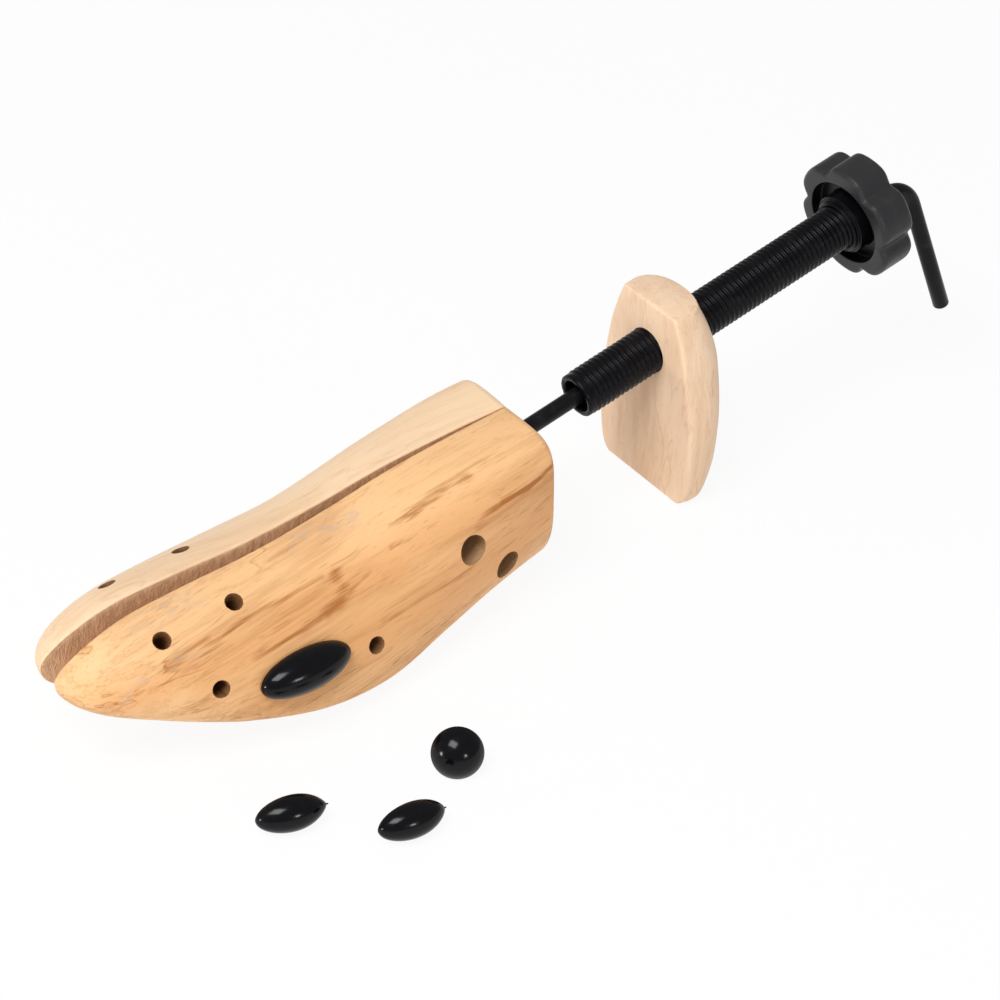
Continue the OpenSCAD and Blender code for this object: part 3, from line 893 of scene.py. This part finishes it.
def feed_all(step, **values):
    """Feeds the sockets of a node by their names, with _ for a space."""
    for label, value in values.items():
        feed(value, step.inputs[label.replace("_", " ")])


def after(kind, *values):
    """A new node in the tree that the first socket among the values belongs to."""
    tree = next(value.id_data for value in values if isinstance(value, bpy.types.NodeSocket))
    return tree.nodes.new(kind)


def calc(operation, a, b=0.0, clamp=False):
    step = after("ShaderNodeMath", a, b)
    step.operation = operation
    step.use_clamp = clamp
    feed(a, step.inputs[0])
    feed(b, step.inputs[1])
    return step.outputs[0]


def times(a, b):
    return calc("MULTIPLY", a, b)


def plus(a, b):
    return calc("ADD", a, b)


def minus(a, b):
    return calc("SUBTRACT", a, b)


def mixed(share, a, b, how="MIX"):
    step = after("ShaderNodeMix", share, a, b)
    step.data_type = "RGBA"
    step.blend_type = how
    for number, value in ((0, share), (6, a), (7, b)):
        feed(value, step.inputs[number])
    return step.outputs[2]


def vector_calc(operation, a, b, second=1):
    """The second number is the socket that takes b: 1, or Scale for scaling."""
    step = after("ShaderNodeVectorMath", a, b)
    step.operation = operation
    feed(a, step.inputs[0])
    feed(b, step.inputs[second])
    return step.outputs["Vector"]


def noise(vector, scale, detail=2.0, rough=0.5, out="Fac"):
    step = after("ShaderNodeTexNoise", vector)
    feed_all(step, Vector=vector, Scale=scale, Detail=detail, Roughness=rough)
    return step.outputs[out]


def mapped(vector, scale=(1, 1, 1), turn=(0, 0, 0), shift=(0, 0, 0)):
    step = after("ShaderNodeMapping", vector)
    feed_all(step, Vector=vector, Scale=scale, Rotation=[math.radians(a) for a in turn], Location=shift)
    return step.outputs["Vector"]


def between(value, low, high):
    """0 below low, 1 above high, and a soft rise between them."""
    step = after("ShaderNodeMapRange", value)
    step.interpolation_type = "SMOOTHSTEP"
    feed_all(step, Value=value, From_Min=low, From_Max=high)
    return step.outputs["Result"]


def new_group(name, inputs, outputs):
    tree = bpy.data.node_groups.new(name, "ShaderNodeTree")
    for label, kind, value in inputs:
        item = tree.interface.new_socket(label, in_out="INPUT", socket_type=kind)
        if value is not None:
            item.default_value = value
    for label, kind in outputs:
        tree.interface.new_socket(label, in_out="OUTPUT", socket_type=kind)
    return tree, tree.nodes.new("NodeGroupInput").outputs, tree.nodes.new("NodeGroupOutput").inputs


def placed(material, group, **values):
    """Places a group in a material with its own values."""
    step = material.node_tree.nodes.new("ShaderNodeGroup")
    step.node_tree = group
    feed_all(step, **values)
    return step.outputs


# %% [markdown]
# Wood shows streaks at several scales: soft bands of darker late wood, thin long lines
# where such a band grazes the surface, fine fibres, and small dark pores. All of them are
# noise that is stretched along the grain. A thin line is drawn where the stretched noise
# crosses its middle value, as a contour on a map. One group does this for every wooden
# finish, and each finish turns and moves it to suit.

# %% The wood grain group
def contour(value, level, width):
    """A thin line where the value crosses a level."""
    away = calc("ABSOLUTE", minus(value, level))
    return minus(1.0, between(away, 0.0, width))


VEC, COL, NUM = "NodeSocketVector", "NodeSocketColor", "NodeSocketFloat"
grain, get, give = new_group(
    "wood_grain",
    [("Vector", VEC, None), ("Light", COL, (0.9, 0.6, 0.3, 1)), ("Dark", COL, (0.5, 0.25, 0.1, 1)),
     ("Bands", NUM, 0.4), ("Lines", NUM, 0.4), ("Fibres", NUM, 0.5), ("Pores", NUM, 0.3),
     ("Figure", NUM, 0.0)],
    [("Color", COL), ("Tone", NUM), ("Height", NUM)])
vector = get["Vector"]
sway = noise(mapped(vector, (0.4, 1, 1)), 15, 2, 0.5, "Color")
sway = vector_calc("SUBTRACT", sway, (0.5, 0.5, 0.5))
sway = vector_calc("MULTIPLY", sway, (0, 0.012, 0.012))
bent = vector_calc("ADD", vector, sway)
wide = noise(mapped(bent, (0.09, 0.55, 1)), 115, 3, 0.55)
fine = noise(mapped(bent, (0.06, 0.7, 1), shift=(0.3, 0.1, 0.2)), 430, 3, 0.62)
fibre = noise(mapped(vector, (0.022, 1, 1)), 1400, 3, 0.65)
broad = noise(mapped(vector, (0.25, 1, 1)), 26, 2)
bands = between(wide, 0.46, 0.74)
lines = plus(contour(wide, 0.52, 0.016), times(contour(fine, 0.56, 0.03), 0.5))
lines = times(lines, between(broad, 0.36, 0.62))
threads = minus(plus(times(fibre, 0.7), fine), 0.85)
feathers = plus(times(fine, 0.75), times(fibre, 0.25))
feathers = between(plus(feathers, times(get["Figure"], 0.3)), 0.62, 0.96)
tone = times(bands, get["Bands"])
tone = plus(tone, times(lines, get["Lines"]))
tone = plus(tone, times(threads, get["Fibres"]))
tone = plus(tone, times(minus(broad, 0.45), 0.35))
tone = calc("ADD", tone, feathers, clamp=True)
pore = between(noise(mapped(vector, (0.07, 1, 1)), 2100, 1), 0.64, 0.76)
pore = times(pore, get["Pores"])
colour = mixed(tone, get["Light"], get["Dark"])
feed(mixed(pore, colour, get["Dark"]), give["Color"])
feed(tone, give["Tone"])
feed(minus(times(fibre, 0.5), times(pore, 1.2)), give["Height"])
print("grain nodes:", len(grain.nodes))


# %% [markdown]
# Each wooden material holds this group. Dark wood is also a little duller, and the
# fibres and pores give a faint relief.

# %% A wooden finish around the group
GLOSSY, DULL = 0.5, 0.62
RELIEF = 0.0002


def principled(material):
    return material.node_tree.nodes["Principled BSDF"]


def object_place(material):
    return material.node_tree.nodes.new("ShaderNodeTexCoord").outputs["Object"]


def relief(height, depth):
    step = after("ShaderNodeBump", height)
    feed_all(step, Strength=1.0, Distance=depth, Height=height)
    return step.outputs["Normal"]


def surface(material, colour, rough, normal):
    feed_all(principled(material), Base_Color=colour, Roughness=rough, Normal=normal)


def wooden(material, vector, light, dark, bands, lines, fibres, pores, figure=0.0):
    """Fills a material with planed wood, and returns its colour."""
    found = placed(material, grain, Vector=vector, Light=light, Dark=dark, Bands=bands,
                   Lines=lines, Fibres=fibres, Pores=pores, Figure=figure)
    rough = plus(times(found["Tone"], DULL - GLOSSY), GLOSSY)
    surface(material, found["Color"], rough, relief(found["Height"], RELIEF))
    principled(material).inputs["Specular IOR Level"].default_value = 0.3
    return found["Color"]


# %% [markdown]
# On the near half dark, feathery streaks run down the flank from the rear edge to a small
# knot, and grey smudges lie along the shoulder. They are drawn as strokes: short rows of
# points on the skin, each with a width and a strength. Every mesh point gets a number that
# says how near it is to a stroke, and the grain group turns that number into streaks.

# %% Strokes that mark the figure in the wood
FIGURE = [
    (1.5, 1.25, [(-66, -23, 50), (-72, -25, 49), (-79, -26, 47), (-85, -26, 47), (-91, -27, 47)]),
    (2.4, 0.8, [(-91, -27, 47), (-96, -27, 45), (-101, -28, 43)]),
    (1.4, 0.7, [(-83, -16, 57), (-89, -16, 56), (-95, -16, 55), (-101, -16, 55)]),
    (2.7, 0.95, [(-98, -17, 54), (-108, -17, 53), (-120, -18, 50), (-131, -18, 47)]),
    (2.0, 0.75, [(-131, -18, 47), (-136, -18, 46), (-142, -18, 45), (-149, -18, 44)]),
    (3.0, 0.85, [(-149, -18, 44), (-150, -21, 41), (-149, -24, 39), (-153, -26, 37), (-158, -27, 36)]),
    (1.2, 0.9, [(-113, -24, 46), (-118, -23, 46), (-124, -23, 45), (-130, -22, 44)]),
    (1.2, 0.95, [(-139, -24, 41), (-143, -24, 39), (-148, -25, 38)]),
    (1.6, 0.75, [(-154, -19, 43), (-160, -19, 42), (-176, -19, 42), (-184, -20, 41), (-190, -21, 40)]),
    (1.7, 0.8, [(-160, -27, 35), (-167, -28, 34), (-174, -28, 34), (-185, -28, 33)]),
    (2.0, 0.6, [(-196, -20, 40), (-210, -21, 38), (-216, -21, 37), (-222, -21, 34), (-228, -20, 31)]),
    (1.6, 0.7, [(-70, -25, 29), (-81, -27, 28), (-93, -30, 31)]),
    (2.2, 0.6, [(-106, -31, 31), (-115, -32, 30), (-131, -33, 29), (-138, -33, 28)]),
    (2.0, 0.6, [(-112, -34, 16), (-129, -36, 16), (-149, -37, 16)]),
    (9.0, 0.3, [(-155, -25, 38), (-178, -26, 36), (-200, -24, 36)])]
WARMTH = [
    (15.0, 1.0, [(-64, -26, 34), (-85, -28, 30), (-120, -32, 26), (-150, -33, 26), (-180, -33, 22)]),
    (8.0, 0.9, [(-66, -24, 46), (-95, -26, 46), (-125, -25, 43)]),
    (9.0, 1.0, [(-130, -26, 40), (-155, -24, 39), (-178, -26, 36), (-200, -26, 33)]),
    (5.0, 0.9, [(-198, -25, 36), (-213, -23, 34), (-221, -22, 33), (-229, -19, 32)])]
SMUDGES = [
    (3.0, 0.9, [(-135, -9, 51), (-141, -8, 50), (-149, -7, 50), (-157, -7, 49)]),
    (4.0, 0.7, [(-194, -8, 47), (-201, -8, 47), (-213, -8, 46)]),
    (1.6, 0.9, [(-199, -21, 39), (-205, -21, 39), (-211, -21, 38)]),
    (1.6, 0.9, [(-218, -21, 37), (-223, -21, 34), (-227, -20, 31)])]


def mark_strokes(piece, name, strokes):
    marks = piece.data.attributes.new(name, "FLOAT", "POINT")
    lines = [(width, strength, [Vector(p) * MM for p in points]) for width, strength, points in strokes]
    for number, point in enumerate(piece.data.vertices):
        value = 0.0
        for width, strength, line in lines:
            for a, b in zip(line, line[1:]):
                near, share = intersect_point_line(point.co, a, b)
                near = a if share < 0 else b if share > 1 else near
                value = max(value, strength * math.exp(-((point.co - near).length / (width * MM))**2))
        marks.data[number].value = value
    print(piece.name, name, "strokes:", len(strokes))


mark_strokes(near_half, "figure", FIGURE)
mark_strokes(near_half, "smudge", SMUDGES)
mark_strokes(near_half, "warmth", WARMTH)
mark_strokes(heel, "figure", [
    (1.0, 1.1, [(-2, 9, 75), (-2, 2, 75), (-3, -3, 75), (-8, -8, 74)]),
    (2.0, 0.45, [(5, -18, 56), (0, -21, 52), (1, -22, 45), (2, -22, 36)]),
    (3.5, 0.7, [(-6, 18, 70), (-6, 21, 60), (-6, 23, 48)])])

# %% [markdown]
# The near half is honey-coloured. The far half is plainer and lighter, and the heel block
# comes from a paler, slightly pink wood with upright grain.

# %% The two halves and the heel block
def mark(material, name):
    step = material.node_tree.nodes.new("ShaderNodeAttribute")
    step.attribute_name = name
    return step.outputs["Fac"]


tilted = mapped(object_place(near_wood), turn=(0, 7, -3), shift=(0, -0.045, 0.075))
colour = wooden(near_wood, tilted, (0.91, 0.55, 0.27, 1), (0.5, 0.205, 0.06, 1),
                0.45, 0.5, 0.8, 0.3, figure=mark(near_wood, "figure"))
warmer = mixed(1.0, colour, (0.9, 0.77, 0.65, 1), "MULTIPLY")
colour = mixed(mark(near_wood, "warmth"), colour, warmer)
cloudy = between(noise(mapped(tilted, (0.4, 1, 1)), 520, 3, 0.6), 0.42, 0.62)
smudged = times(times(mark(near_wood, "smudge"), cloudy), 0.4)
colour = mixed(smudged, colour, (0.42, 0.36, 0.33, 1))
feed(colour, principled(near_wood).inputs["Base Color"])

tilted = mapped(object_place(far_wood), turn=(4, 5, 4), shift=(0, 0.02, 0.11))
wooden(far_wood, tilted, (0.95, 0.69, 0.45, 1), (0.66, 0.36, 0.15, 1), 0.22, 0.22, 0.5, 0.22)

upright = mapped(object_place(heel_wood), turn=(0, 88, 3), shift=(0, 0.07, 0.03))
wooden(heel_wood, upright, (0.945, 0.69, 0.48, 1), (0.66, 0.36, 0.18, 1),
       0.3, 0.26, 0.5, 0.25, figure=mark(heel_wood, "figure"))

# %% [markdown]
# The sawn faces are browner than the skin, and the saw has left a rough, mottled surface
# with faint marks across the grain. Two noises give both its colour and its depth: one
# is stretched a little along the marks, and the other a lot. The walls of the holes are
# darker, and the narrow plug holes are painted far darker still, as painted shade in their depth.

# %% Sawn faces and bored walls
place = object_place(sawn_wood)
colour = wooden(sawn_wood, mapped(place, turn=(0, 8, 0), shift=(0, 0.05, 0.09)),
                (0.9, 0.58, 0.35, 1), (0.55, 0.29, 0.14, 1), 0.3, 0.2, 0.7, 0.5)
ragged = noise(mapped(place, (1, 1, 0.4), turn=(0, 14, 0)), 700, 4, 0.75)
combed = noise(mapped(place, (1, 1, 0.12), turn=(0, 14, 0)), 700, 2, 0.6)
marks = plus(times(ragged, 0.65), times(combed, 0.4))
marks = between(marks, 0.42, 0.68)
colour = mixed(times(marks, 0.45), colour, (0.58, 0.33, 0.17, 1))
feed(colour, principled(sawn_wood).inputs["Base Color"])
feed(relief(marks, 0.0003), principled(sawn_wood).inputs["Normal"])

# The plug holes' near-black walls are painted shade for narrow, deep holes.
for walls, light, dark in ((bored_wood, (0.5, 0.3, 0.15, 1), (0.2, 0.09, 0.035, 1)),
                           (plug_hole_shaded_wood, (0.24, 0.11, 0.045, 1), (0.09, 0.035, 0.013, 1))):
    turned_grain = mapped(object_place(walls), turn=(0, 14, 0), shift=(0, 0.05, 0.09))
    wooden(walls, turned_grain, light, dark, 0.4, 0.4, 0.9, 0.6)

# %% [markdown]
# Black plastic is never quite even: the mould leaves a fine texture, and handling leaves
# faint lighter smudges. One group gives both, and each plastic sets its own gloss.

# %% The moulded surface group
moulded, get, give = new_group(
    "moulded_surface",
    [("Vector", VEC, None), ("Base", COL, (0.02, 0.02, 0.02, 1)), ("Smudge", COL, (0.06, 0.06, 0.06, 1)),
     ("Texture", NUM, 2600.0), ("Low Gloss", NUM, 0.5), ("High Gloss", NUM, 0.3)],
    [("Color", COL), ("Roughness", NUM), ("Height", NUM)])
vector = get["Vector"]
patches = between(noise(vector, 160, 4, 0.6), 0.48, 0.78)
specks = between(noise(vector, 2200, 1, 0.5), 0.72, 0.8)
scaled = vector_calc("SCALE", vector, get["Texture"], "Scale")
texture = noise(scaled, 1.0, 2, 0.6)
amount = plus(times(patches, 0.35), times(specks, 0.5))
feed(mixed(amount, get["Base"], get["Smudge"]), give["Color"])
span = minus(get["Low Gloss"], get["High Gloss"])
wanted = plus(times(patches, 0.6), times(texture, 0.4))
feed(plus(get["High Gloss"], times(span, wanted)), give["Roughness"])
feed(texture, give["Height"])

# %% [markdown]
# Each black has its base and smudge colours, its texture's fineness, gloss and relief.
# The last number is the refraction: a low one keeps the black deep under the lamps.

# %% Black plastics and the rod's coat
BLACKS = [
    (screw_plastic, (0.0035, 0.003, 0.0042, 1), (0.022, 0.022, 0.024, 1), 3000, 0.24, 0.38, 2e-5, 1.22),
    (knob_plastic, (0.026, 0.0245, 0.0265, 1), (0.055, 0.052, 0.053, 1), 3400, 0.36, 0.5, 3e-5, 1.35),
    (pad_plastic, (0.002, 0.0018, 0.003, 1), (0.008, 0.008, 0.011, 1), 700, 0.14, 0.24, 2e-5, 1.3),
    (rod_black, (0.006, 0.0055, 0.0065, 1), (0.035, 0.035, 0.04, 1), 1800, 0.26, 0.4, 2e-5, 1.25)]
for material, base, smudge, texture, glossy, dull, depth, bends in BLACKS:
    found = placed(material, moulded, Vector=object_place(material), Base=base, Smudge=smudge,
                   Texture=texture, High_Gloss=glossy, Low_Gloss=dull)
    surface(material, found["Color"], found["Roughness"], relief(found["Height"], depth))
    principled(material).inputs["IOR"].default_value = bends

# %% [markdown]
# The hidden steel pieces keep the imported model's shapes. Their finish is bright, with fine
# lines left by the lathe.

# %% Turned steel on the hidden pieces
place = object_place(bright_steel)
lathe = noise(mapped(place, (1, 0.06, 0.06)), 2600, 2, 0.6)
stain = between(noise(place, 240, 3, 0.6), 0.45, 0.8)
colour = mixed(times(stain, 0.5), (0.62, 0.62, 0.63, 1), (0.4, 0.38, 0.35, 1))
surface(bright_steel, colour, plus(times(lathe, 0.25), 0.22), relief(lathe, 0.00003))
principled(bright_steel).inputs["Metallic"].default_value = 1.0
for name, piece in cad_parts.items():
    if name not in redrawn:
        for socket in piece.material_slots:
            socket.material = bright_steel
print("steel pieces kept from the packed model:", len(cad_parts) - len(redrawn))

# %% [markdown]
# ## Floor and light
# The photograph has a white ground with hardly a shadow. The floor is a pale plane that is
# lifted to white for what the camera and the reflections see, while the light that it
# throws back on the object stays plain. A faint shadow is left.

# %% The floor
put_all_down()
bpy.ops.mesh.primitive_plane_add(size=8, location=(0, 0, -0.0003))
floor = bpy.context.object
floor.name = "pale_floor"
bpy.ops.object.transform_apply(location=True)
paper = finish("white_paper")
wear(floor, paper)
tree = paper.node_tree
tree.nodes.clear()
PALE = 0.92
LIFT = 0.92
rays = tree.nodes.new("ShaderNodeLightPath").outputs
seen = calc("MAXIMUM", rays["Is Camera Ray"], rays["Is Glossy Ray"])
seen = calc("MAXIMUM", seen, rays["Is Transmission Ray"])
dull = tree.nodes.new("ShaderNodeBsdfDiffuse")
dull.inputs["Color"].default_value = (PALE, PALE, PALE, 1)
glow = tree.nodes.new("ShaderNodeEmission")
glow.inputs["Strength"].default_value = 1.0
lift = tree.nodes.new("ShaderNodeMixShader")
for number, source in enumerate((times(seen, LIFT), dull.outputs[0], glow.outputs[0])):
    feed(source, lift.inputs[number])
feed(lift.outputs[0], tree.nodes.new("ShaderNodeOutputMaterial").inputs["Surface"])

# %% [markdown]
# The light is soft and comes from all round, with one broad lamp overhead and two small
# ones, in front of the object and at its left. The glossy pads show where such lamps
# stand: a soft streak near the middle, a bright dot at the left tip and a small one below.

# %% Lamps and surroundings
LAMP_TARGET = Vector((-0.08, 0, 0.03))


def lamp(name, place, size, power):
    data = bpy.data.lights.new(name, "AREA")
    data.shape = "RECTANGLE"
    data.size, data.size_y = size
    data.energy = power
    shade = bpy.data.objects.new(name, data)
    bpy.context.scene.collection.objects.link(shade)
    shade.location = place
    shade.rotation_euler = (LAMP_TARGET - Vector(place)).to_track_quat("-Z", "Y").to_euler()


lamp("broad lamp overhead", (-0.7, -0.2, 1.15), (0.65, 0.5), 11.3)
lamp("small lamp in front", (-0.2, -1.35, 0.4), (0.2, 0.2), 2.6)
lamp("small lamp at the left", (-1.5, 0.22, 0.17), (0.17, 0.17), 3.6)
world = bpy.data.worlds.new("pale_room")
bpy.context.scene.world = world
world.use_nodes = True
tree = world.node_tree
tree.nodes.clear()
around = tree.nodes.new("ShaderNodeBackground")
around.inputs["Strength"].default_value = 0.5
feed(around.outputs[0], tree.nodes.new("ShaderNodeOutputWorld").inputs["Surface"])
bpy.context.scene.view_settings.view_transform = "Standard"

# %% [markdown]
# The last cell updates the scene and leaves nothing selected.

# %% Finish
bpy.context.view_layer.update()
put_all_down()
